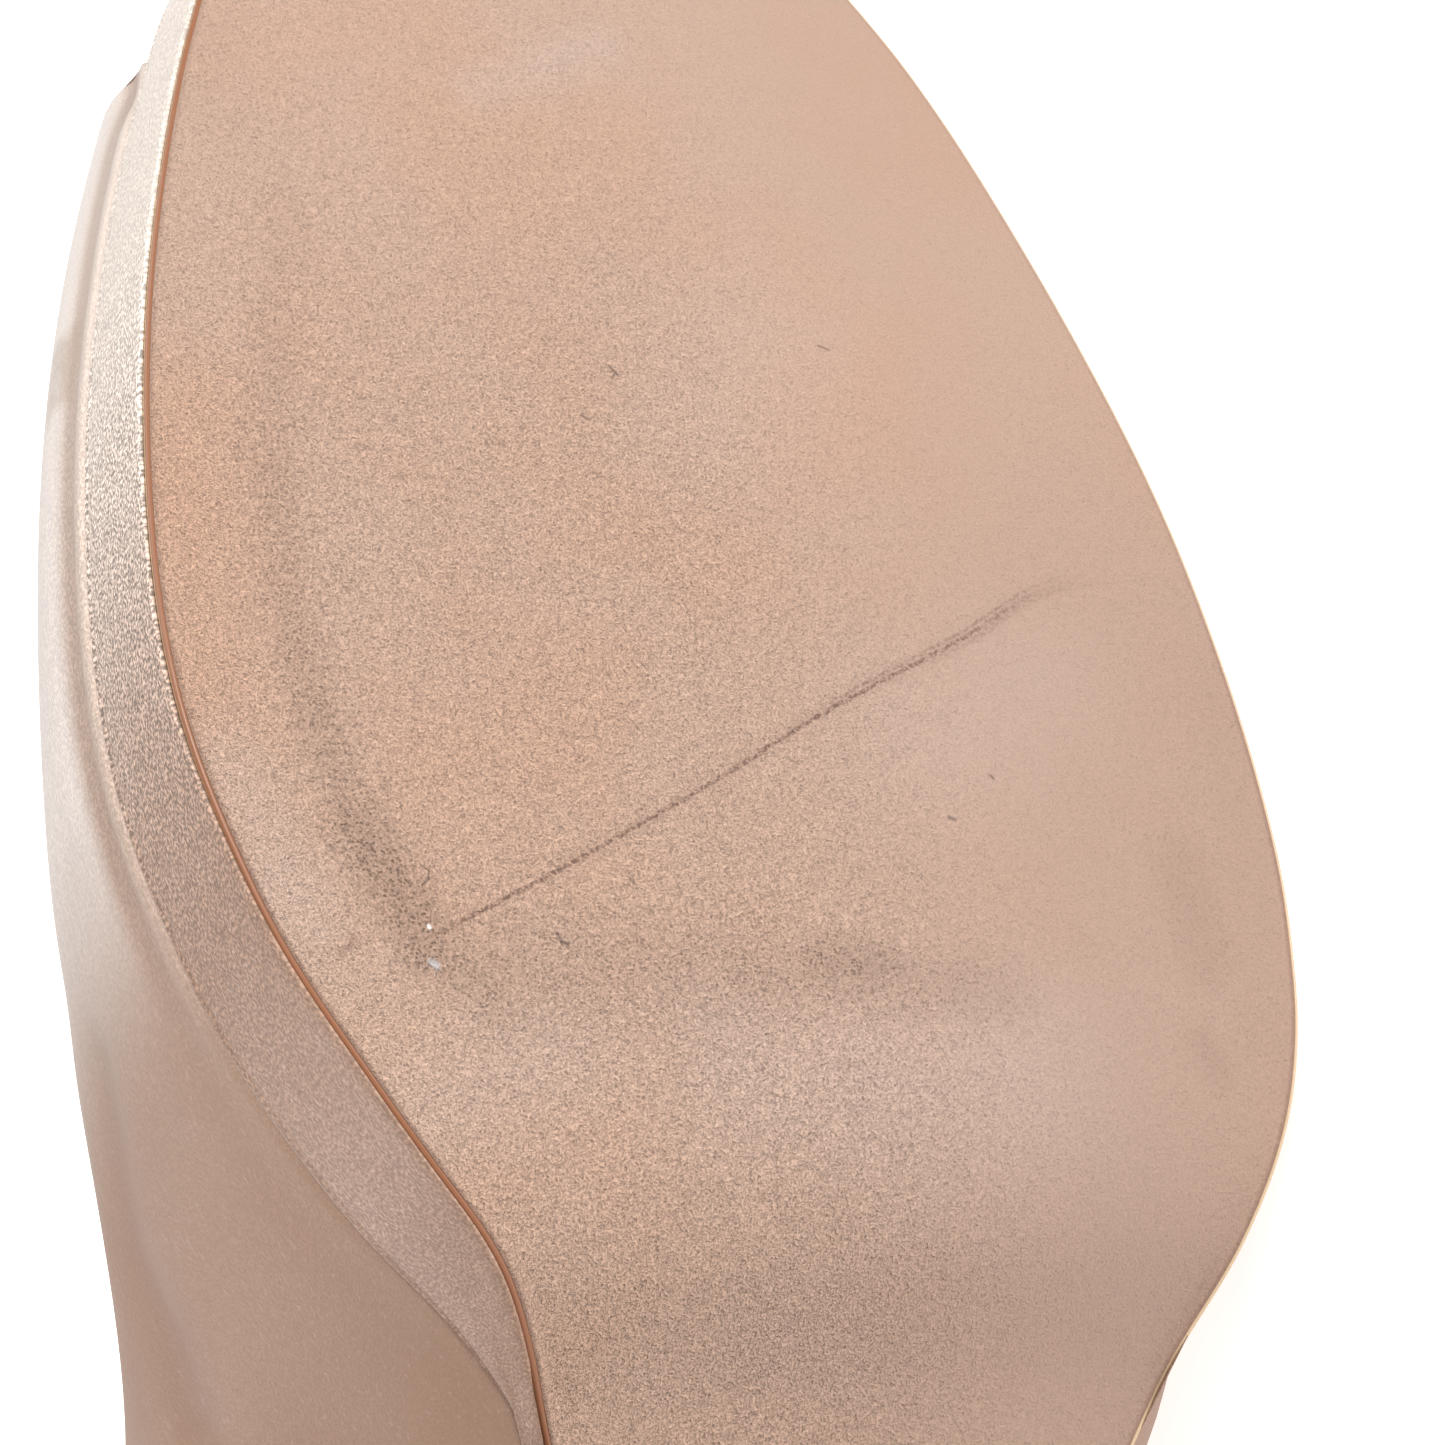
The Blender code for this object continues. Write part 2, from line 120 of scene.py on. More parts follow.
def far_from(points, path):
    """Level distance of points from a path of straight pieces."""
    near = np.full(len(points), 1e9)
    for start, end in zip(path, path[1:]):
        along = end - start
        share = np.clip(((points[:, :2] - start) @ along) / max(along @ along, 1e-12), 0.0, 1.0)
        near = np.minimum(near, np.linalg.norm(points[:, :2] - start - share[:, None] * along, axis=1))
    return near


def rubbed(points, start, end, width):
    """How much of a mark rubbed along a straight stretch lies at each point, the sizes in millimetres."""
    share = np.clip(1.0 - far_from(points * 1000.0, np.array((start, end))) / width, 0.0, 1.0)
    return share * share * (3.0 - 2.0 * share)


def rubbed_together(points, kind):
    """How much all marks of one kind cover each point."""
    return 1.0 - np.prod([1.0 - strength * rubbed(points, *mark) for *mark, strength in kind], axis=0)


def layered_body(low, high, last, tipped, columns, profile, hang=0.0):
    """A closed sole body, its rim run through profile's (inset, share of thickness, share of hang)."""
    loop = np.vstack((low[-1:], low, low[:1]))[:, :2]
    run = loop[2:] - loop[:-2]
    run /= np.linalg.norm(run, axis=1)[:, None]
    out = np.column_stack((-run[:, 1], run[:, 0], np.zeros(len(run))))
    if out[0, 1] < 0.0:
        out = -out
    thick = (high - low)[:, 2:]
    shrink = np.minimum(1.0, thick / SOLE_THICKNESS)
    hang = np.array((0.0, 0.0, 1.0)) * np.broadcast_to(hang, len(low))[:, None]
    rings = [low + (high - low) * share - out * inset * shrink - hang * drop
             for inset, share, drop in profile]
    count = len(low)
    points = [point for ring in rings for point in ring]
    faces = []
    for level in range(len(rings) - 1):
        for i in range(count):
            j = (i + 1) % count
            faces.append((level * count + i, level * count + j,
                          (level + 1) * count + j, (level + 1) * count + i))
    for start in (0, (len(rings) - 1) * count):
        lines = []
        for row in range(last + 1):
            first = start + row
            end = start + (count - row) % count
            if row == 0 or (tipped and row == last):
                lines.append([first] * (columns + 1))
            elif row == last:
                lines.append(list(range(first, end + 1)))
            else:
                line = [first]
                for column in range(1, columns):
                    share = column / columns
                    line.append(len(points))
                    points.append(points[first] * (1 - share) + points[end] * share)
                lines.append(line + [end])
        for near, far in zip(lines, lines[1:]):
            for column in range(columns):
                ring = dict.fromkeys((near[column], near[column + 1], far[column + 1], far[column]))
                if len(ring) > 2:
                    faces.append(tuple(ring))
    points = np.array(points)
    # millimetres in from the edge on the face underneath, and below nought up the edge itself
    rim = far_from(points, np.vstack((low, low[:1]))[:, :2]) * 1000.0
    for level, (inset, share, drop) in enumerate(profile):
        if share > 0.02:
            rim[level * count:(level + 1) * count] = -share
    return points, faces, rim


def make_piece(name, points, faces, node, materials, reads=None, outside=None):
    """A smooth piece, given as the shoe stands, that is shown in place of a CAD node."""
    mesh = bpy.data.meshes.new(name)
    mesh.from_pydata(lying(points).tolist(), [], faces)
    shape = bmesh.new()
    shape.from_mesh(mesh)
    bmesh.ops.recalc_face_normals(shape, faces=shape.faces)
    shape.to_mesh(mesh)
    shape.free()
    known = {"place": np.asarray(points) * 1000.0, "threads": np.asarray(points) * 1000.0}
    known.update(reads or {})
    for label, values in known.items():
        flat = np.ndim(values) == 1
        layer = mesh.attributes.new(label, "FLOAT" if flat else "FLOAT_VECTOR", "POINT")
        layer.data.foreach_set("value" if flat else "vector", np.asarray(values, float).ravel())
    mesh.shade_smooth()
    for material in materials:
        mesh.materials.append(material)
    if outside is not None:
        mesh.polygons.foreach_set("material_index", outside)
    piece = bpy.data.objects.new(name, mesh)
    bpy.context.scene.collection.objects.link(piece)
    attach(piece, "root")
    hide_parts(node)


def new_node(tree, kind, inputs=None, out=0, **settings):
    """A node with its settings and its inputs, each a value or another node's output."""
    made = tree.nodes.new(kind)
    for key, value in settings.items():
        setattr(made, key, value)
    for key, value in (inputs or {}).items():
        if isinstance(value, bpy.types.NodeSocket):
            tree.links.new(value, made.inputs[key])
        else:
            made.inputs[key].default_value = value
    return made.outputs[out]


def calc(tree, operation, a, b=0.0, c=0.0):
    return new_node(tree, "ShaderNodeMath", {0: a, 1: b, 2: c}, operation=operation)


def vector_calc(tree, operation, a, b=(0.0, 0.0, 0.0), out=0):
    return new_node(tree, "ShaderNodeVectorMath", {0: a, 1: b}, out, operation=operation)


def scaled(tree, vector, by):
    """A vector or a colour, each of its numbers times the same."""
    return new_node(tree, "ShaderNodeVectorMath", {0: vector, "Scale": by}, operation="SCALE")


def part_of(tree, vector, part):
    """One of a vector's numbers: 0 across, 1 along, 2 up."""
    return new_node(tree, "ShaderNodeSeparateXYZ", {0: vector}, part)


def mesh_number(tree, label):
    """A number that the mesh carries at each point."""
    return new_node(tree, "ShaderNodeAttribute", out=2, attribute_name=label)


def mesh_vector(tree, label):
    """A vector that the mesh carries at each point."""
    return new_node(tree, "ShaderNodeAttribute", out=1, attribute_name=label)


def blended(tree, share, a, b):
    """One colour laid over another by a share."""
    return new_node(tree, "ShaderNodeMix", {0: share, 6: a, 7: b}, 2, data_type="RGBA")


def eased(tree, value, start, end, low=0.0, high=1.0):
    """A value read smoothly between two ends."""
    return new_node(tree, "ShaderNodeMapRange", {0: value, 1: start, 2: end, 3: low, 4: high},
                    interpolation_type="SMOOTHSTEP")


def speckle(tree, where, scale, detail=2.0, rough=0.5):
    """Soft noise from 0 to 1, its scale given per millimetre."""
    return new_node(tree, "ShaderNodeTexNoise",
                    {"Vector": where, "Scale": scale, "Detail": detail, "Roughness": rough})


def new_group(name, takes, gives):
    """An empty shader node group with named inputs and outputs."""
    group = bpy.data.node_groups.new(name, "ShaderNodeTree")
    for label, kind, value in takes:
        socket = group.interface.new_socket(label, in_out="INPUT", socket_type=kind)
        if value is not None:
            socket.default_value = value
    for label, kind in gives:
        group.interface.new_socket(label, in_out="OUTPUT", socket_type=kind)
    return group, group.nodes.new("NodeGroupInput").outputs, group.nodes.new("NodeGroupOutput").inputs


def use_group(tree, group, inputs, out=0):
    made = tree.nodes.new("ShaderNodeGroup")
    made.node_tree = group
    for key, value in inputs.items():
        if isinstance(value, bpy.types.NodeSocket):
            tree.links.new(value, made.inputs[key])
        else:
            made.inputs[key].default_value = value
    return made.outputs[out]


def new_material(name, roughness, **plain):
    """A Principled material with plain numbers set, its tree and shader, and the place in millimetres."""
    material = bpy.data.materials.new(name)
    material.use_nodes = True
    tree = material.node_tree
    shader = tree.nodes["Principled BSDF"]
    shader.inputs["Roughness"].default_value = roughness
    for key, value in plain.items():
        shader.inputs[key.replace("_", " ")].default_value = value
    return material, tree, shader, mesh_vector(tree, "place")


# A mark rubbed along a straight stretch: a scuff, a smear of dirt or a paler bloom
RUBBED, takes, gives = new_group(
    "rubbed mark",
    [("Place", "NodeSocketVector", None), ("Stray", "NodeSocketVector", None),
     ("Start", "NodeSocketVector", None), ("End", "NodeSocketVector", None),
     ("Width", "NodeSocketFloat", 1.0), ("Ragged", "NodeSocketFloat", 0.5)],
    [("Mask", "NodeSocketFloat")])
strayed = vector_calc(RUBBED, "ADD", takes["Place"], scaled(RUBBED, takes["Stray"], takes["Ragged"]))
flat = vector_calc(RUBBED, "SUBTRACT", strayed, takes["Start"])
flat = vector_calc(RUBBED, "MULTIPLY", flat, (1.0, 1.0, 0.0))
stretch = vector_calc(RUBBED, "SUBTRACT", takes["End"], takes["Start"])
share = calc(RUBBED, "DIVIDE", vector_calc(RUBBED, "DOT_PRODUCT", flat, stretch, 1),
             vector_calc(RUBBED, "DOT_PRODUCT", stretch, stretch, 1))
share = new_node(RUBBED, "ShaderNodeClamp", {0: share})
gap = vector_calc(RUBBED, "DISTANCE", flat, scaled(RUBBED, stretch, share), 1)
mask = eased(RUBBED, calc(RUBBED, "DIVIDE", gap, takes["Width"]), 0.0, 1.0, 1.0, 0.0)
RUBBED.links.new(mask, gives["Mask"])


def straying(tree, where):
    """How far a rubbed mark strays, by soft noise, as a way in space."""
    noise = new_node(tree, "ShaderNodeTexNoise", {"Vector": where, "Scale": 0.9, "Detail": 3.0}, 1)
    return vector_calc(tree, "SUBTRACT", noise, (0.5, 0.5, 0.5))


# The fine pebble of sole leather: pores in a wandering net of tiny folds
PEBBLE, takes, gives = new_group(
    "leather pebble", [("Place", "NodeSocketVector", None), ("Size", "NodeSocketFloat", 0.4)],
    [("Height", "NodeSocketFloat"), ("Pores", "NodeSocketFloat"), ("Folds", "NodeSocketFloat")])
pitch = calc(PEBBLE, "DIVIDE", 1.0, takes["Size"])
stray = new_node(PEBBLE, "ShaderNodeTexNoise", {"Vector": takes["Place"], "Scale": 2.2, "Detail": 2.0}, 1)
stray = vector_calc(PEBBLE, "SUBTRACT", stray, (0.5, 0.5, 0.5))
strayed = vector_calc(PEBBLE, "ADD", takes["Place"], scaled(PEBBLE, stray, 0.30))
pore = new_node(PEBBLE, "ShaderNodeTexVoronoi", {"Vector": strayed, "Scale": pitch})
pore = eased(PEBBLE, pore, 0.47, 0.18)
folds = speckle(PEBBLE, strayed, calc(PEBBLE, "MULTIPLY", pitch, 1.9), 1.0, 0.6)
uneven = eased(PEBBLE, speckle(PEBBLE, takes["Place"], 1.1, 2.0), 0.35, 0.62)
pore = calc(PEBBLE, "MULTIPLY", pore, calc(PEBBLE, "MULTIPLY_ADD", uneven, 0.4, 0.6))
PEBBLE.links.new(calc(PEBBLE, "SUBTRACT", folds, calc(PEBBLE, "MULTIPLY", pore, 0.35)), gives["Height"])
PEBBLE.links.new(pore, gives["Pores"])
PEBBLE.links.new(folds, gives["Folds"])

SOLE_PROFILE = [(0.00110, 0.00, 0.0), (0.00058, 0.00, 0.0), (0.00024, 0.015, 0.0), (0.00004, 0.07, 0.0),
                (-0.00012, 0.15, 0.0), (-0.00016, 0.26, 0.0), (-0.00016, 0.40, 0.0), (-0.00010, 0.52, 0.0),
                (0.0, 0.75, 0.0), (0.00008, 0.93, 0.0), (0.00040, 1.00, 0.0)]
SOLE_COLUMNS = 112
PALE_LEATHER = (0.448, 0.300, 0.226, 1.0)
WARM_LEATHER = (0.458, 0.290, 0.208, 1.0)
SOLE_DIRT = (0.185, 0.112, 0.076, 1.0)
SCRATCH_BROWN = (0.150, 0.076, 0.052, 1.0)
SPECK_BROWN = (0.10, 0.062, 0.048, 1.0)
PALE_CRUMB = (0.95, 0.93, 0.90, 1.0)
GREY_CRUMB = (0.62, 0.66, 0.70, 1.0)
TOE_WARMTH = (0.478, 0.278, 0.186, 1.0)
OUTER_GREY = (0.395, 0.272, 0.213, 1.0)
BLOOM = (0.478, 0.356, 0.300, 1.0)
BUFFED_BORDER = (0.235, 0.135, 0.095, 1.0)
EDGE_PAINT = (0.270, 0.110, 0.054, 1.0)
EDGE_CREAM = (0.800, 0.660, 0.430, 1.0)
GRAIN = 0.31             # pitch of the pebble, in millimetres
GRAIN_RELIEF = 0.00040   # height of the pebble, in metres
PORE_SHADE = 0.13        # how much darker a pore is
SMOOTH_SHADE = 0.76      # the leather's brightness where the grain fades out
DIRT_IN_PORES = 0.85
DIRT_BETWEEN = 0.36

sole_leather, tree, shader, where = new_material("sole leather", 0.62, Specular_IOR_Level=0.35)
rim = mesh_number(tree, "rim")
grain ={"Place": where, "Size": GRAIN}
pebble_height = use_group(tree, PEBBLE, grain)
pores = use_group(tree, PEBBLE, grain, 1)
folds = use_group(tree, PEBBLE, grain, 2)
patchy = speckle(tree, where, 0.045, 3.0, 0.55)
colour = blended(tree, eased(tree, patchy, 0.35, 0.68), PALE_LEATHER, WARM_LEATHER)
strays = straying(tree, where)


def rub(colour, start, end, width, strength, tint, ragged):
    """Lay a rubbed mark over the leather's colour."""
    mask = use_group(tree, RUBBED, {"Place": where, "Stray": strays, "Width": width, "Ragged": ragged,
                                    "Start": (*start, 0.0), "End": (*end, 0.0)})
    return blended(tree, calc(tree, "MULTIPLY", mask, strength), colour, tint)


# broad marks as start, end, width and strength, in millimetres: warmer by the toe's inner edge, greyer at
# the outer side, paler where the sole has been rubbed
WARM_MARKS = (((36.0, 150.0), (39.5, 132.0), 12.0, 0.55),)
GREY_MARKS = (((-30.0, 128.0), (-14.0, 82.0), 34.0, 0.65),)
PALE_MARKS = (((-9.0, 157.0), (-4.0, 150.0), 12.0, 0.30), ((-12.0, 99.0), (6.0, 101.0), 13.0, 0.42),
              ((20.0, 101.0), (30.0, 99.0), 8.0, 0.35), ((-22.0, 128.0), (-14.0, 124.0), 12.0, 0.28),
              ((7.1, 178.0), (-3.5, 182.0), 3.6, 0.40), ((38.5, 124.0), (36.0, 113.0), 5.0, 0.35))
rubs = mesh_vector(tree, "rubs")
for part, tint in enumerate((TOE_WARMTH, OUTER_GREY, BLOOM)):
    colour = blended(tree, part_of(tree, rubs, part), colour, tint)
# the grain's own light and dark, keen on the inner side and faint towards the toe and the outer side
across = part_of(tree, where, 0)
along = part_of(tree, where, 1)
by_length = eased(tree, along, 184.0, 140.0, 0.40, 1.0)
keen = calc(tree, "MULTIPLY", by_length, eased(tree, across, -22.0, 6.0, 0.22, 1.0))
shade = eased(tree, folds, 0.32, 0.68, 0.06, 0.58)
shade = calc(tree, "SUBTRACT", shade, calc(tree, "MULTIPLY", pores, PORE_SHADE))
shade = calc(tree, "MULTIPLY_ADD", shade, keen, SMOOTH_SHADE)
colour = scaled(tree, colour, shade)
# dirt down the inner side and across the ball, given as the broad marks are
DIRT = (((24.1, 169.0), (27.7, 158.0), 3.4, 0.18), ((27.7, 158.0), (30.5, 146.8), 3.4, 0.26),
        ((30.5, 146.8), (31.9, 132.0), 3.2, 0.40), ((31.9, 132.0), (30.6, 119.0), 3.2, 0.55),
        ((30.6, 119.5), (27.6, 109.5), 4.2, 0.95), ((27.0, 110.0), (23.6, 105.7), 5.0, 0.50),
        ((23.0, 108.0), (5.0, 107.2), 7.5, 0.40), ((5.7, 107.0), (-13.3, 104.9), 4.6, 0.52),
        ((-1.0, 107.6), (-5.0, 106.8), 3.6, 0.85), ((-30.0, 114.0), (-29.7, 106.5), 4.2, 0.46),
        ((-27.9, 100.6), (-28.6, 98.4), 2.2, 0.44), ((26.0, 190.0), (27.0, 175.0), 5.0, 0.14),
        ((-37.5, 128.0), (-33.0, 100.0), 5.0, 0.14))
held = calc(tree, "MULTIPLY_ADD", calc(tree, "MULTIPLY", pores, keen), DIRT_IN_PORES, DIRT_BETWEEN)
in_pores = calc(tree, "MULTIPLY", mesh_number(tree, "soil"), held)
colour = blended(tree, new_node(tree, "ShaderNodeClamp", {0: in_pores}), colour, SOLE_DIRT)
# the long scratch, broken by the pores and doubled towards its outer end: each line of it as its distance
# aside, its width, its strength and where along the scratch it starts and ends
SCRATCH_LINES = ((0.0, 0.25, 0.85, -3.0, 60.0), (0.42, 0.22, 0.50, 33.0, 62.0),
                 (-0.38, 0.45, 0.30, 44.0, 64.0), (0.1, 1.30, 0.10, 4.0, 63.0))
scratch = mesh_vector(tree, "scratch")
along_scratch = part_of(tree, scratch, 1)
wander = calc(tree, "MULTIPLY", calc(tree, "SUBTRACT", speckle(tree, where, 1.3, 2.0), 0.5), 0.40)
beside_scratch = calc(tree, "ADD", part_of(tree, scratch, 0), wander)
broken = calc(tree, "MULTIPLY_ADD", eased(tree, speckle(tree, where, 3.4, 1.0), 0.42, 0.60), 0.75, 0.30)
for offset, width, strength, starts, ends in SCRATCH_LINES:
    near = calc(tree, "ABSOLUTE", calc(tree, "SUBTRACT", beside_scratch, offset))
    mask = eased(tree, near, width, width * 0.25)
    mask = calc(tree, "MULTIPLY", mask, eased(tree, along_scratch, starts, starts + 8.0))
    mask = calc(tree, "MULTIPLY", mask, eased(tree, along_scratch, ends + 2.5, ends - 9.0))
    mask = calc(tree, "MULTIPLY", mask, calc(tree, "MULTIPLY", broken, strength))
    colour = blended(tree, mask, colour, SCRATCH_BROWN)
# specks and a short fibre as x, y, end x, end y and width, then a brown dent, a pale crumb and a grey one
SPECKS = ((3.1, 154.7, 2.7, 154.0, 0.20), (2.8, 154.1, 3.2, 153.8, 0.16), (6.2, 150.8, 5.8, 150.4, 0.18),
          (-13.5, 156.2, -14.2, 155.8, 0.17), (18.2, 110.6, 18.0, 109.9, 0.20),
          (18.0, 109.9, 17.6, 109.8, 0.20), (11.9, 114.4, 11.7, 114.1, 0.24),
          (-13.2, 118.2, -13.5, 118.0, 0.28), (28.4, 116.0, 28.5, 115.4, 0.20),
          (26.8, 116.1, 26.3, 115.6, 0.13), (26.3, 115.6, 26.5, 115.0, 0.13),
          (26.5, 115.0, 27.0, 114.6, 0.13), (-17.2, 121.3, -17.4, 121.0, 0.22))
for x, y, to_x, to_y, width in SPECKS:
    colour = rub(colour, (x, y), (to_x, to_y), width, 0.68, SPECK_BROWN, 0.25)
colour = rub(colour, (34.2, 109.6), (33.0, 110.7), 0.55, 0.40, SCRATCH_BROWN, 0.9)
colour = rub(colour, (27.2, 111.5), (27.2, 111.6), 0.24, 0.95, PALE_CRUMB, 0.1)
colour = rub(colour, (27.7, 108.9), (27.4, 108.6), 0.50, 0.55, GREY_CRUMB, 0.4)
# the trimmed edge: a buffed, darker border, then brown paint, then a bright lip
fray = calc(tree, "MULTIPLY", calc(tree, "SUBTRACT", speckle(tree, where, 3.2, 2.0), 0.5), 0.34)
border = eased(tree, calc(tree, "ADD", rim, fray), 0.58, 0.22)
border = calc(tree, "MULTIPLY", border, eased(tree, along, 150.0, 108.0, 0.35, 0.75))
colour = blended(tree, border, colour, BUFFED_BORDER)
painted = eased(tree, rim, 0.10, 0.03)
bright_lip = eased(tree, rim, -0.22, -0.38)
bright_lip = calc(tree, "MULTIPLY", bright_lip, eased(tree, along, 112.0, 150.0, 0.15, 0.75))
bright = calc(tree, "MAXIMUM", eased(tree, across, -4.0, -26.0, 0.0, 0.55), bright_lip)
colour = blended(tree, painted, colour, blended(tree, bright, EDGE_PAINT, EDGE_CREAM))
tree.links.new(colour, shader.inputs["Base Color"])
rough = calc(tree, "MULTIPLY_ADD", patchy, 0.12, 0.46)
rough = calc(tree, "SUBTRACT", rough, calc(tree, "MULTIPLY", painted, 0.22))
tree.links.new(rough, shader.inputs["Roughness"])
bare = calc(tree, "MULTIPLY", keen, calc(tree, "SUBTRACT", 1.0, painted))
bump = new_node(tree, "ShaderNodeBump", {"Strength": 1.0, "Distance": GRAIN_RELIEF,
                                         "Height": calc(tree, "MULTIPLY", pebble_height, bare)})
tree.links.new(bump, shader.inputs["Normal"])

low, high, last, tipped = sole_rings("outsole", 4, SOLE_COLUMNS)
points, faces, rim_place = layered_body(low, high, last, tipped, SOLE_COLUMNS, SOLE_PROFILE)
face_of_tread = rim_place > 0.3
# soft troughs worn into the tread: their paths in millimetres, then width and depth in metres
INNER_TROUGH = [(24.1, 172.0), (27.7, 157.9), (30.5, 146.8), (31.7, 136.6), (31.8, 128.9), (30.2, 117.3),
                (27.5, 110.4)]
BALL_TROUGH = [(24.7, 107.8), (8.5, 107.9), (-2.7, 107.5), (-13.3, 104.9), (-24.0, 103.0)]
OUTER_TROUGH = [(-33.5, 124.0), (-32.0, 116.0), (-29.6, 107.9), (-28.4, 100.0), (-26.0, 92.0)]
SCRATCH = [(27.4, 110.8), (19.3, 114.2), (5.0, 121.0), (-6.4, 126.9), (-17.9, 132.1), (-23.6, 135.2),
           (-27.4, 136.5), (-30.4, 136.7)]
TREAD_ENDS_AT = 0.06     # height of the shank above which nothing is worn
press = np.zeros(len(points))
for path, width, depth in ((INNER_TROUGH, 0.0026, 0.00016), (BALL_TROUGH, 0.0050, 0.00014),
                           (OUTER_TROUGH, 0.0030, 0.00013), (SCRATCH, 0.0008, 0.00004)):
    press += depth * np.exp(-(far_from(points, np.array(path) / 1000.0) / width) ** 2)
points[:, 2] += np.where(face_of_tread & (points[:, 2] < TREAD_ENDS_AT), press, 0.0)
# where each point lies by the scratch: aside of it, along it and how far off, in millimetres
scratch_run = smooth_run(np.array(SCRATCH), 6)
scratch_steps = np.diff(scratch_run, axis=0)
scratch_lengths = np.linalg.norm(scratch_steps, axis=1)
scratch_reach = np.concatenate(((0.0,), np.cumsum(scratch_lengths)))
scratch_place = np.full((len(points), 3), 1e6)
for index, (start, step, length) in enumerate(zip(scratch_run, scratch_steps, scratch_lengths)):
    away = points[:, :2] * 1000.0 - start
    share = away @ step / length ** 2
    sideways = (away[:, 0] * step[1] - away[:, 1] * step[0]) / length
    bound = (-9.0 if index == 0 else 0.0, 9.0 if index == len(scratch_steps) - 1 else 1.0)
    held = np.clip(share, *bound)
    gap = np.linalg.norm(away - held[:, None] * step, axis=1)
    closer = gap < scratch_place[:, 2]
    scratch_place[closer] = np.column_stack((sideways, scratch_reach[index] + held * length, gap))[closer]
outsole_low, outsole_top = low, high
soil = np.max([strength * rubbed(points, *mark) for *mark, strength in DIRT], axis=0)
rubs = np.column_stack([rubbed_together(points, kind) for kind in (WARM_MARKS, GREY_MARKS, PALE_MARKS)])
make_piece("outsole_leather", points, faces, "outsole", [sole_leather],
           {"rim": rim_place, "scratch": scratch_place, "soil": soil, "rubs": rubs})

# The platform is a light core covered in the same satin as the upper, drawn tight round its edge and
# folded over at the feather line, where the fold catches the light.

THREAD = 0.12            # pitch of the threads, in millimetres
THREAD_RELIEF = 0.00006  # height of the threads, in metres
WEAVE, takes, gives = new_group(
    "satin weave", [("Threads", "NodeSocketVector", None), ("Thread", "NodeSocketFloat", THREAD)],
    [("Height", "NodeSocketFloat"), ("Streaks", "NodeSocketFloat")])
pitch = calc(WEAVE, "DIVIDE", 1.0, takes["Thread"])
drawn = vector_calc(WEAVE, "MULTIPLY", takes["Threads"], (0.8, 0.36, 0.56))
threads = speckle(WEAVE, scaled(WEAVE, drawn, pitch), 1.0, 1.0, 0.6)
slubs = speckle(WEAVE, vector_calc(WEAVE, "MULTIPLY", takes["Threads"], (2.0, 0.5, 1.5)), 1.0, 2.0)
streaks = calc(WEAVE, "MULTIPLY_ADD", slubs, 0.20, calc(WEAVE, "MULTIPLY", threads, 0.80))
WEAVE.links.new(calc(WEAVE, "MULTIPLY_ADD", slubs, 0.3, threads), gives["Height"])
WEAVE.links.new(streaks, gives["Streaks"])


def satin_material(name, shaded_colour, light, rough, contrast, lit_from, fully_lit_at):
    """Champagne satin: fine threads with painted glints, soft tones, and painted shade that turns to
    painted light towards the toe.
    """
    material, tree, shader, where = new_material(
        name, rough, Specular_IOR_Level=0.5, Metallic=0.20, Sheen_Weight=0.12, Sheen_Roughness=0.4)
    thread = {"Threads": mesh_vector(tree, "threads"), "Thread": THREAD}
    height = use_group(tree, WEAVE, thread)
    streaks = use_group(tree, WEAVE, thread, 1)
    tone = eased(tree, speckle(tree, where, 0.035, 2.0, 0.5), 0.35, 0.65)
    length = part_of(tree, where, 1)
    # painted light and shade: darker at the back, paler towards the toe where the light falls
    lit_towards_toe = eased(tree, length, lit_from, fully_lit_at)
    share = calc(tree, "MULTIPLY_ADD", lit_towards_toe, 0.90, calc(tree, "MULTIPLY_ADD", tone, 0.06, 0.04))
    colour = blended(tree, share, shaded_colour, light)
    pulls = speckle(tree, vector_calc(tree, "MULTIPLY", where, (3.0, 0.12, 3.0)), 1.0, 1.0)
    colour = blended(tree, eased(tree, pulls, 0.64, 0.74, 0.0, 0.12), colour, light)
    # painted glints between the threads, strongest at the ball, weaker in the painted light of the toe and
    # weakest in the painted shade of the waist
    glint = eased(tree, length, 98.0, 142.0, 0.30, 1.0)
    glint = calc(tree, "MULTIPLY", glint, eased(tree, length, 174.0, 148.0, 0.35, 1.0))
    shade = eased(tree, streaks, 0.38, 0.68, -0.7 * contrast, 1.4 * contrast)
    shade = calc(tree, "MULTIPLY_ADD", shade, glint, 1.0)
    colour = scaled(tree, colour, shade)
    flat = calc(tree, "MULTIPLY_ADD", lit_towards_toe, -0.12, rough + 0.27)
    tree.links.new(calc(tree, "MULTIPLY_ADD", streaks, -0.30, flat), shader.inputs["Roughness"])
    bump = new_node(tree, "ShaderNodeBump", {"Strength": 1.0, "Distance": THREAD_RELIEF, "Height": height})
    tree.links.new(bump, shader.inputs["Normal"])
    tree.links.new(colour, shader.inputs["Base Color"])
    return material, tree, shader, where, colour, shade


# the band's colours: painted shade towards the waist, painted light towards the toe, where the light falls
# on it
band_satin, tree, shader, where, colour, shade = satin_material(
    "platform satin", (0.285, 0.160, 0.103, 1.0), (0.740, 0.655, 0.590, 1.0), 0.42, 0.80, 112.0, 176.0)


def stained(tree, where, colour):
    """A brown stain at the feather line, by the inner side of the toes."""
    mask = use_group(tree, RUBBED, {
        "Place": where, "Stray": straying(tree, where), "Start": (34.6, 167.3, 0.0),
        "End": (35.6, 163.6, 0.0), "Width": 2.6, "Ragged": 2.0})
    height = part_of(tree, where, 2)
    mask = calc(tree, "MULTIPLY", mask, eased(tree, height, 14.5, 17.0))
    mask = calc(tree, "MULTIPLY", mask, eased(tree, height, 22.0, 18.5))
    return blended(tree, calc(tree, "MULTIPLY", mask, 0.45), colour, (0.30, 0.20, 0.13, 1.0))


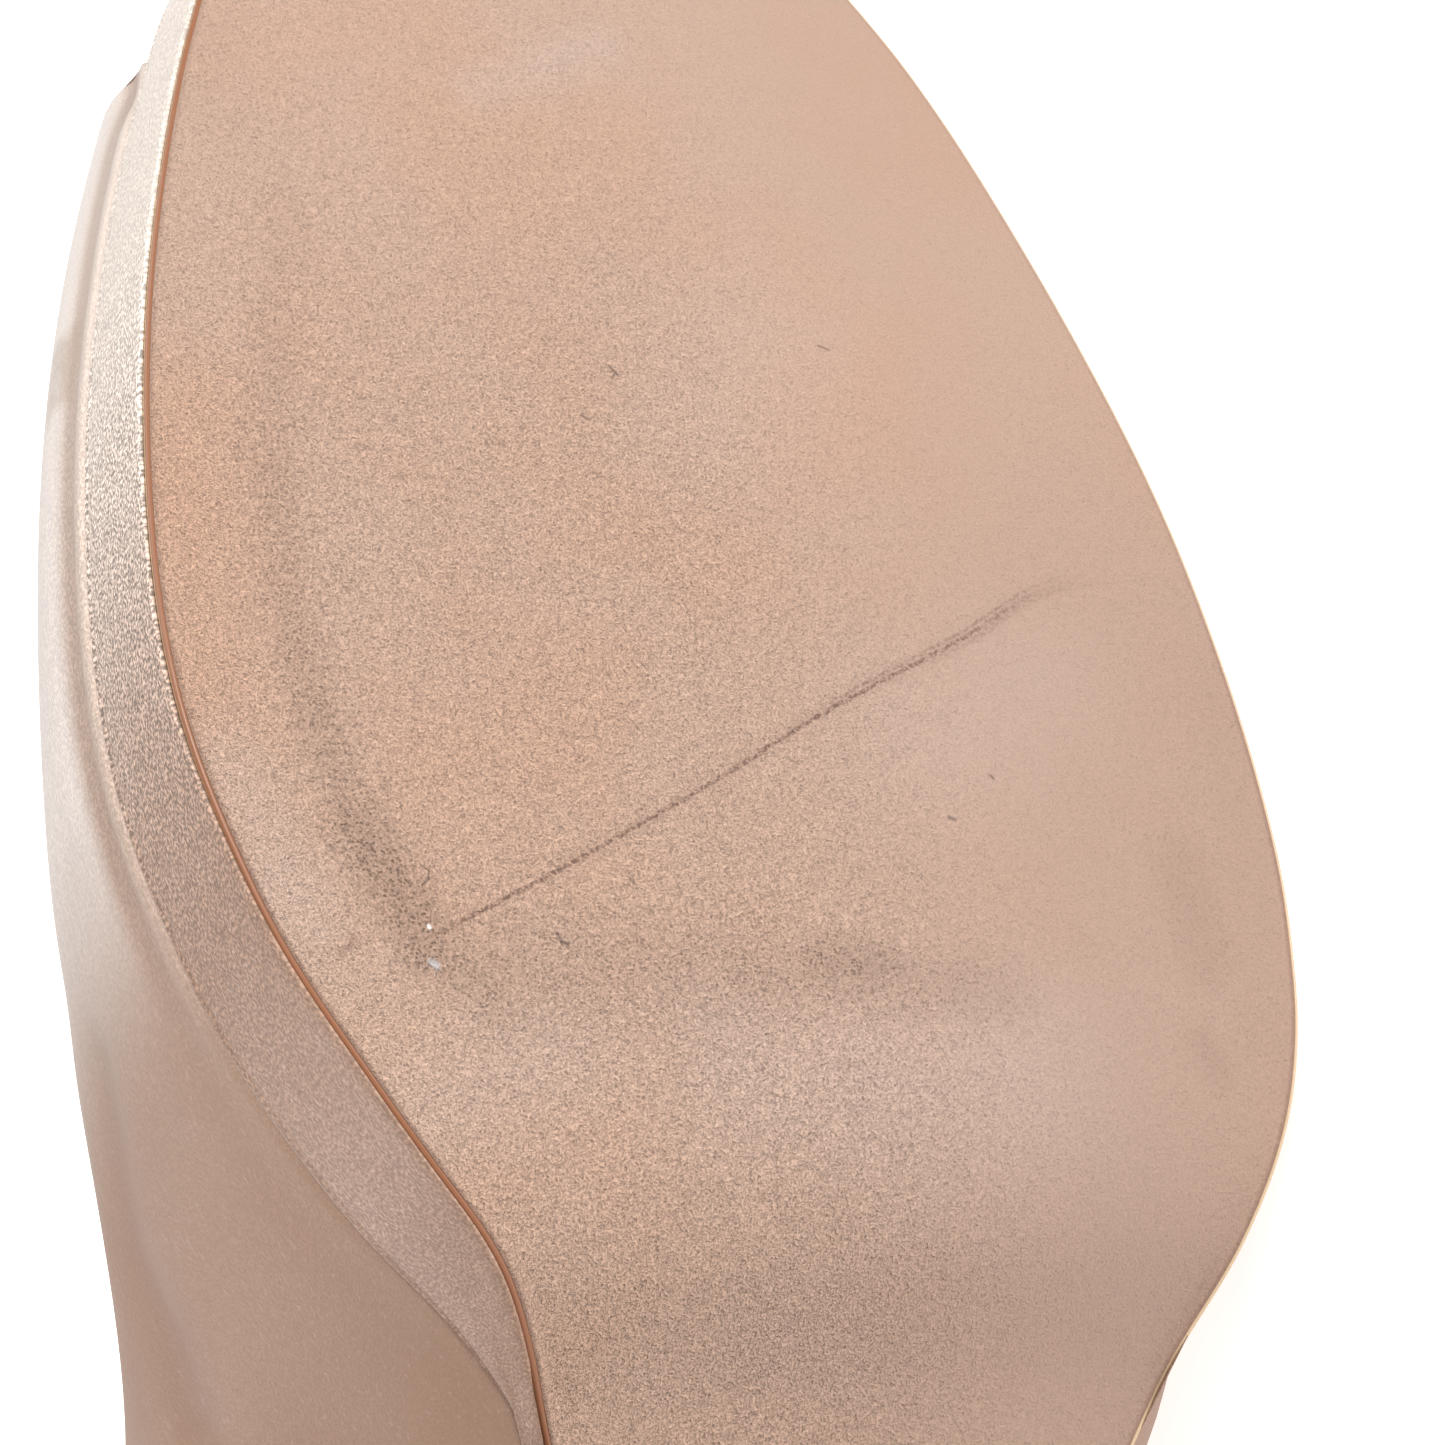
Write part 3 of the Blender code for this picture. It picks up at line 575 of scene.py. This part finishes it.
tree.links.new(stained(tree, where, colour), shader.inputs["Base Color"])
BAND_PROFILE = [(0.0016, 0.0, 0.0), (0.00047, 0.0, 0.0), (0.00044, 0.0, 0.50), (0.00038, 0.0, 0.88),
                (0.00024, 0.0, 1.0), (0.00009, 0.0, 0.95), (0.0, 0.0, 0.78), (-0.00003, 0.0, 0.35),
                (-0.00005, 0.06, 0.0), (-0.00010, 0.25, 0.0), (-0.00014, 0.45, 0.0), (-0.00010, 0.65, 0.0),
                (-0.00004, 0.82, 0.0), (0.00002, 0.90, 0.0), (0.00012, 0.945, 0.0), (-0.00004, 0.97, 0.0),
                (0.00002, 0.985, 0.0), (0.00012, 1.012, 0.0), (0.0005, 1.020, 0.0), (0.0016, 1.0, 0.0)]
BAND_COLUMNS = 24
low, high, last, tipped = sole_rings("platform", 4, BAND_COLUMNS)
outer_end = last + BAND_COLUMNS
platform_top = high.copy()
# the tail runs out thin between the sole and the upper, and the outer side tucks in above the sole's edge
TAIL_LENGTH = 0.0045
TAIL_THICKNESS = 0.0003
SIDE_TUCK = 0.0004
MOST_HANG = 0.004
for end in (last, outer_end):
    side = outsole_top[(outsole_top[:, 0] > 0.0) == (low[end, 0] > 0.0)]
    here, behind = (side[np.argmin(np.abs(side[:, 1] - low[end, 1] + back))] for back in (0.0, TAIL_LENGTH))
    low[end] += behind - here
share = np.linspace(0.0, 1.0, BAND_COLUMNS + 1)[:, None]
low[last:outer_end + 1] = low[last] * (1.0 - share) + low[outer_end] * share
high[last:outer_end + 1] = low[last:outer_end + 1] + np.array((0.0, 0.0, TAIL_THICKNESS))
for run in (low, high):
    run[:, 0] += SIDE_TUCK * np.clip(-run[:, 0] / 0.020, 0.0, 1.0)
# the cover hangs over the sole's edge and leaves a strip of paint, narrower towards the waist
under = np.argmin(np.linalg.norm(low[:, None, :2] - outsole_low[None, :, :2], axis=2), axis=1)
left_bare = 0.16 + 0.24 * np.clip((low[:, 1] - 0.108) / 0.020, 0.0, 1.0)
hang = low[:, 2] - outsole_low[under, 2] * (1 - left_bare) - outsole_top[under, 2] * left_bare
hang = np.clip(hang, 0.0, MOST_HANG)
hang[last + 1:outer_end] = 0.0
points, faces, rim_place = layered_body(low, high, last, tipped, BAND_COLUMNS, BAND_PROFILE, hang)
# on the band the threads run along its edge, from the toe backwards
lengths = np.linalg.norm(np.roll(low, -1, axis=0) - low, axis=1) * 1000.0
onward = np.concatenate(((0.0,), np.cumsum(lengths)[:-1]))
from_toe = np.minimum(onward, lengths.sum() - onward)
threads = points * 1000.0
rim_points = len(BAND_PROFILE) * len(low)
threads[:rim_points, 0] = 0.0
threads[:rim_points, 1] = np.tile(from_toe, len(BAND_PROFILE))
make_piece("platform_cover", points, faces, "platform", [band_satin], {"threads": threads})

# The insole is a board with a steel shank, under a smooth leather sock that is cemented down and turned
# over the board's edge.

sock_leather, tree, shader, where = new_material("sock leather", 0.48, Specular_IOR_Level=0.4)
tone = speckle(tree, where, 0.05, 3.0)
pebble_height = use_group(tree, PEBBLE, {"Place": where, "Size": 0.55})
worn = eased(tree, speckle(tree, where, 0.12, 2.0), 0.55, 0.8)
colour = blended(tree, tone, (0.60, 0.43, 0.33, 1.0), (0.68, 0.52, 0.42, 1.0))
colour = blended(tree, calc(tree, "MULTIPLY", worn, 0.35), colour, (0.50, 0.36, 0.28, 1.0))
tree.links.new(colour, shader.inputs["Base Color"])
bump = new_node(tree, "ShaderNodeBump", {"Strength": 0.35, "Distance": 0.00008, "Height": pebble_height})
tree.links.new(bump, shader.inputs["Normal"])
SOCK_PROFILE = [(0.0010, 0.0, 0.0), (0.0001, 0.05, 0.0), (0.0, 0.40, 0.0), (0.00006, 0.72, 0.0),
                (0.0003, 0.92, 0.0), (0.0009, 1.0, 0.0), (0.0020, 0.99, 0.0)]
SOCK_COLUMNS = 32
low, high, last, tipped = sole_rings("insole", 3, SOCK_COLUMNS)
points, faces, rim_place = layered_body(low, high, last, tipped, SOCK_COLUMNS, SOCK_PROFILE)
make_piece("insole_sock", points, faces, "insole", [sock_leather])

# The upper is satin lasted over a stiffener and a pale kid lining, turned in at the collar and the toe
# opening. Lasting leaves a soft roll just above the feather line and faint flex folds at the ball.

WALL_BEND = math.radians(50.0)     # faces that meet at less than this are of one wall
ROUNDING_LEVELS = 2


def smooth_cage(node, sharp, crease):
    """A CAD node rounded by subdivision: points, normals, faces and which of them are the outer wall."""
    shape = bmesh.new()
    shape.from_mesh(frame["nodes"][node].data)
    bmesh.ops.remove_doubles(shape, verts=shape.verts, dist=2e-6)
    bmesh.ops.join_triangles(shape, faces=shape.faces, angle_face_threshold=WALL_BEND,
                             angle_shape_threshold=math.radians(120.0))
    bmesh.ops.recalc_face_normals(shape, faces=shape.faces)
    mark = shape.faces.layers.int.new("wall")
    crease_layer = shape.edges.layers.float.new("crease_edge")
    fold = math.radians(sharp)
    for edge in shape.edges:
        if len(edge.link_faces) == 2 and edge.calc_face_angle() > fold:
            edge[crease_layer] = crease
    inner_way = Vector(shoe_axes[0])
    start = max(shape.faces, key=lambda face: face.calc_center_median() @ inner_way)
    reached = {start}
    front = [start]
    while front:
        face = front.pop()
        face[mark] = 1
        for edge in face.edges:
            for other in edge.link_faces:
                if other not in reached and edge.calc_face_angle(0.0) < WALL_BEND:
                    reached.add(other)
                    front.append(other)
    mesh = bpy.data.meshes.new("cage")
    shape.to_mesh(mesh)
    shape.free()
    cage = bpy.data.objects.new("cage", mesh)
    bpy.context.scene.collection.objects.link(cage)
    rounding = cage.modifiers.new("rounding", "SUBSURF")
    rounding.levels = ROUNDING_LEVELS
    rounding.render_levels = ROUNDING_LEVELS
    rounded = bpy.data.meshes.new_from_object(cage.evaluated_get(bpy.context.evaluated_depsgraph_get()))
    points = standing([vertex.co for vertex in rounded.vertices])
    normals = np.array([normal.vector for normal in rounded.vertex_normals]) @ shoe_axes.T
    faces = [tuple(polygon.vertices) for polygon in rounded.polygons]
    walls = [item.value for item in rounded.attributes["wall"].data]
    bpy.data.objects.remove(cage)
    bpy.data.meshes.remove(mesh)
    bpy.data.meshes.remove(rounded)
    return points, normals, faces, walls


def far_in_space(points, path):
    """Distance of points from a path of straight pieces, in space."""
    near = np.full(len(points), 1e9)
    for start, end in zip(path, path[1:]):
        along = end - start
        share = np.clip(((points - start) @ along) / max(along @ along, 1e-12), 0.0, 1.0)
        near = np.minimum(near, np.linalg.norm(points - start - share[:, None] * along, axis=1))
    return near


def finer_near(points, faces, walls, gaps, limit):
    """Halve the outside faces that lie within limit of the feather line."""
    shape = bmesh.new()
    made = [shape.verts.new(point) for point in points]
    mark = shape.faces.layers.int.new("wall")
    close = []
    for corners, wall in zip(faces, walls):
        face = shape.faces.new([made[corner] for corner in corners])
        face[mark] = wall
        if wall and max(gaps[corner] for corner in corners) < limit:
            close.append(face)
    edges = list({edge for face in close for edge in face.edges})
    bmesh.ops.subdivide_edges(shape, edges=edges, cuts=1, use_grid_fill=True, smooth=0.0)
    shape.normal_update()
    shape.verts.index_update()
    points = np.array([vertex.co for vertex in shape.verts])
    normals = np.array([vertex.normal for vertex in shape.verts])
    faces = [tuple(vertex.index for vertex in face.verts) for face in shape.faces]
    walls = [face[mark] for face in shape.faces]
    shape.free()
    return points, normals, faces, walls


PLATFORM_REAR = 0.084    # behind this the upper meets the sole itself


def feather_gaps(points):
    """Distance of points from the feather line, where the upper meets the platform or the sole."""
    line = np.vstack((platform_top, outsole_top[outsole_top[:, 1] < PLATFORM_REAR]))
    tree = KDTree(len(line))
    for index, point in enumerate(line):
        tree.insert(Vector(point), index)
    tree.balance()
    return np.array([tree.find(Vector(point))[2] for point in points])


# the upper's colours: painted shade behind the ball, painted light towards the toe
upper_satin, tree, shader, where, colour, shade = satin_material(
    "upper satin", (0.302, 0.174, 0.113, 1.0), (0.640, 0.560, 0.510, 1.0), 0.46, 0.14, 98.0, 184.0)
HOLLOW_SHADE_SATIN = (0.320, 0.215, 0.160)
PAINTED_ROLL_HIGHLIGHT = (0.600, 0.490, 0.405)
PAINTED_SHEEN_SATIN = (0.760, 0.700, 0.665)
FOLD_SHADE_PAINT = (0.255, 0.150, 0.105, 1.0)
gap = mesh_number(tree, "rim")
length = part_of(tree, where, 1)
by_toes = eased(tree, length, 104.0, 126.0, 0.12, 1.0)
# up from the feather line, in millimetres: a painted highlight on the roll, painted shade in the hollow
# above it, then a painted strip of sheen
painted_roll_highlight = calc(tree, "MULTIPLY", eased(tree, gap, 0.1, 0.6), eased(tree, gap, 1.9, 1.1))
hollow_shade = calc(tree, "MULTIPLY", eased(tree, gap, 1.4, 2.2), eased(tree, gap, 4.6, 3.2))
painted_sheen_strip = calc(tree, "MULTIPLY", eased(tree, gap, 3.4, 6.0), eased(tree, length, 110.0, 134.0))
keener = calc(tree, "POWER", shade, 2.0)
# each painted highlight or shade is laid over the satin with the threads' streaks kept in it
for mask, strength, tint, by in ((hollow_shade, 0.50, HOLLOW_SHADE_SATIN, keener), (painted_roll_highlight, 0.30, PAINTED_ROLL_HIGHLIGHT, keener),
                                 (painted_sheen_strip, 0.72, PAINTED_SHEEN_SATIN, shade)):
    mask = calc(tree, "MULTIPLY", calc(tree, "MULTIPLY", mask, by_toes), strength)
    colour = blended(tree, mask, colour, scaled(tree, tint, by))
# painted shade in the folds, darker where they are deeper
colour = blended(tree, calc(tree, "MULTIPLY", mesh_number(tree, "fold"), 0.42), colour, FOLD_SHADE_PAINT)
tree.links.new(stained(tree, where, colour), shader.inputs["Base Color"])
lining_kid, tree, shader, where = new_material("lining kid", 0.55, Specular_IOR_Level=0.35)
tone = speckle(tree, where, 0.06, 3.0)
colour = blended(tree, tone, (0.60, 0.47, 0.38, 1.0), (0.70, 0.57, 0.48, 1.0))
tree.links.new(colour, shader.inputs["Base Color"])
pebble_height = use_group(tree, PEBBLE, {"Place": where, "Size": 0.6})
bump = new_node(tree, "ShaderNodeBump", {"Strength": 0.3, "Distance": 0.00006, "Height": pebble_height})
tree.links.new(bump, shader.inputs["Normal"])

# folds and hollows in the satin: each as its path, its width and its depth, in millimetres
UPPER_TROUGHS = (
    (((39.6, 118.0, 30.0), (39.2, 113.9, 32.6), (37.7, 107.3, 37.0), (36.4, 100.0, 37.3),
      (35.4, 95.0, 39.5)), 3.6, 1.00),
    (((40.4, 128.0, 22.0), (39.6, 124.0, 34.0)), 4.0, 0.30),
    (((-41.0, 121.0, 21.0), (-40.0, 118.0, 34.0)), 3.5, 0.40),
    (((-41.0, 112.0, 20.0), (-39.0, 107.0, 34.0)), 3.0, 0.35),
    (((27.2, 187.5, 15.5), (26.6, 188.5, 16.5)), 2.2, 0.55),
    (((30.0, 60.0, 60.0), (27.0, 40.0, 72.0)), 6.0, 0.30))
FINER_WITHIN = 0.008     # reach of the finer faces from the feather line
WAIST_TUCK = 0.0020      # how far the waist's outer side is lasted in
points, normals, faces, walls = smooth_cage("upper", 60.0, 0.35)
gaps = feather_gaps(points)
points, normals, faces, walls = finer_near(points, faces, walls, gaps, FINER_WITHIN)
gaps = feather_gaps(points) * 1000.0
outer = np.zeros(len(points), bool)
outer[[corner for face, wall in zip(faces, walls) if wall for corner in face]] = True
roll = (0.26 * np.exp(-((gaps - 0.9) / 0.7) ** 2) - 0.20 * np.exp(-((gaps - 3.0) / 1.4) ** 2)
        + 0.22 * np.exp(-((gaps - 7.0) / 3.0) ** 2))
roll *= 0.25 + 0.75 * np.clip((points[:, 1] - 0.102) / 0.024, 0.0, 1.0)
fold_depth = np.zeros(len(points))
for path, width, depth in UPPER_TROUGHS:
    fold_depth += depth * np.exp(-(far_in_space(points * 1000.0, np.array(path)) / width) ** 2)
roll -= fold_depth
points += normals * (np.where(outer, roll, 0.0) / 1000.0)[:, None]
# at the waist's outer side the upper is lasted in above the sole's edge
beside_waist = np.clip((0.106 - points[:, 1]) / 0.010, 0.0, 1.0)
beside_waist *= np.clip((points[:, 1] - 0.050) / 0.020, 0.0, 1.0)
outer_side = np.clip(-points[:, 0] / 0.010, 0.0, 1.0)
points[:, 0] += WAIST_TUCK * np.exp(-(gaps / 9.0) ** 2) * beside_waist * outer_side
make_piece("satin_upper", points, faces, "upper", [lining_kid, upper_satin],
           {"rim": gaps, "fold": fold_depth}, walls)

# The heel is wood wrapped in the same satin, drawn smooth round the back, the sides and the breast and
# turned under at the seat and the tip.

# the heel stands behind the painted light, so nearly all of it takes the painted shade colour
heel_satin = satin_material(
    "heel satin", (0.350, 0.222, 0.156, 1.0), (0.560, 0.470, 0.400, 1.0), 0.44, 0.30, 98.0, 184.0)[0]
points, normals, faces, walls = smooth_cage("heel", 55.0, 0.7)
make_piece("heel_cover", points, faces, "heel", [heel_satin])

# The top lift is a hard, matt ground piece that takes the wear. It is pinned into the heel's tip and
# trimmed to its outline.

lift_material, tree, shader, where = new_material("top lift", 0.5)
tone = speckle(tree, where, 1.2, 3.0)
colour = blended(tree, tone, (0.30, 0.21, 0.155, 1.0), (0.42, 0.31, 0.24, 1.0))
tree.links.new(colour, shader.inputs["Base Color"])
bump = new_node(tree, "ShaderNodeBump", {"Strength": 0.4, "Distance": 0.0001, "Height": tone})
tree.links.new(bump, shader.inputs["Normal"])
points, normals, faces, walls = smooth_cage("top_lift", 55.0, 0.8)
make_piece("top_lift_cover", points, faces, "top_lift", [lift_material])

# The table is a plain, bright white sheet that the shoe lies on. It glows a little of itself, painted light
# that pales its shadows and lights the shoe from below, and it is softly lit from above and from the side
# that the sole faces.

floor_mesh = bpy.data.meshes.new("table_top")
floor_corners = [(-6.0, -6.0, 0.0), (6.0, -6.0, 0.0), (6.0, 6.0, 0.0), (-6.0, 6.0, 0.0)]
floor_mesh.from_pydata(floor_corners, [], [(0, 1, 2, 3)])
table_top = bpy.data.objects.new("table_top", floor_mesh)
bpy.context.scene.collection.objects.link(table_top)
glowing_white, tree, shader, where = new_material("table white", 0.85, Specular_IOR_Level=0.2)
shader.inputs["Base Color"].default_value = (0.90, 0.90, 0.90, 1.0)
shader.inputs["Emission Color"].default_value = (1.0, 1.0, 1.0, 1.0)
# the table's own glow is painted light that washes out the shadows on it
shader.inputs["Emission Strength"].default_value = 0.75
glowing_white.cycles.emission_sampling = "NONE"
floor_mesh.materials.append(glowing_white)

world = bpy.data.worlds.new("studio")
world.use_nodes = True
world.node_tree.nodes["Background"].inputs["Color"].default_value = (1.0, 0.99, 0.98, 1.0)
world.node_tree.nodes["Background"].inputs["Strength"].default_value = 0.45
bpy.context.scene.world = world
bpy.context.scene.view_settings.view_transform = "Standard"


def soft_light(name, place, target, size, power, colour):
    """A square area light that the camera doesn't see."""
    lamp = bpy.data.lights.new(name, "AREA")
    lamp.shape = "SQUARE"
    lamp.size = size
    lamp.energy = power
    lamp.color = colour
    light = bpy.data.objects.new(name, lamp)
    light.location = place
    light.rotation_mode = "QUATERNION"
    light.rotation_quaternion = (Vector(target) - Vector(place)).to_track_quat("-Z", "Y")
    light.visible_camera = False
    bpy.context.scene.collection.objects.link(light)


middle = (0.0, 0.0, 0.04)
soft_light("overhead_light", (0.1, 1.1, 1.7), middle, 1.2, 16.0, (1.0, 0.995, 0.985))
soft_light("raking_light", (1.1, 0.35, 1.35), middle, 0.45, 16.0, (1.0, 0.985, 0.965))
soft_light("front_light", (1.8, -0.4, 0.6), middle, 0.9, 8.0, (1.0, 0.985, 0.970))
soft_light("back_light", (-1.4, -0.5, 1.0), middle, 0.9, 10.0, (0.98, 0.99, 1.0))

# The camera looks at the sole from below the ball and a little to the inner side, with the toe at the
# top of the picture.

VIEW_TILT = math.radians(38.0)
VIEW_TURN = math.radians(45.36)
VIEW_ROLL = math.atan2(0.81, -0.59)
VIEW_DISTANCE = 0.600
VIEW_CENTRE = np.array((0.00194, 0.12614, 0.0))
PICTURE_SIDE = 1445.0
PIXELS_PER_METRE = 14700.0
SENSOR_WIDTH = 36.0
back = np.array((math.sin(VIEW_TILT) * math.cos(VIEW_TURN), -math.sin(VIEW_TILT) * math.sin(VIEW_TURN),
                 -math.cos(VIEW_TILT)))
upright = np.array((0.0, 0.0, 1.0)) - back[2] * back
upright /= np.linalg.norm(upright)
beside = np.cross(-back, upright)
right = math.cos(VIEW_ROLL) * upright - math.sin(VIEW_ROLL) * beside
down = math.sin(VIEW_ROLL) * upright + math.cos(VIEW_ROLL) * beside
camera_data = bpy.data.cameras.new("camera")
camera_data.sensor_width = SENSOR_WIDTH
camera_data.lens = SENSOR_WIDTH * PIXELS_PER_METRE * VIEW_DISTANCE / PICTURE_SIDE
camera_data.clip_start = 0.01
camera_data.clip_end = 50.0
camera = bpy.data.objects.new("camera", camera_data)
bpy.context.scene.collection.objects.link(camera)
turned = np.column_stack([way @ shoe_axes for way in (right, -down, back)])
place = Matrix(turned.tolist()).to_4x4()
place.translation = Vector(lying([VIEW_CENTRE + back * VIEW_DISTANCE])[0])
camera.matrix_world = place
bpy.context.scene.camera = camera
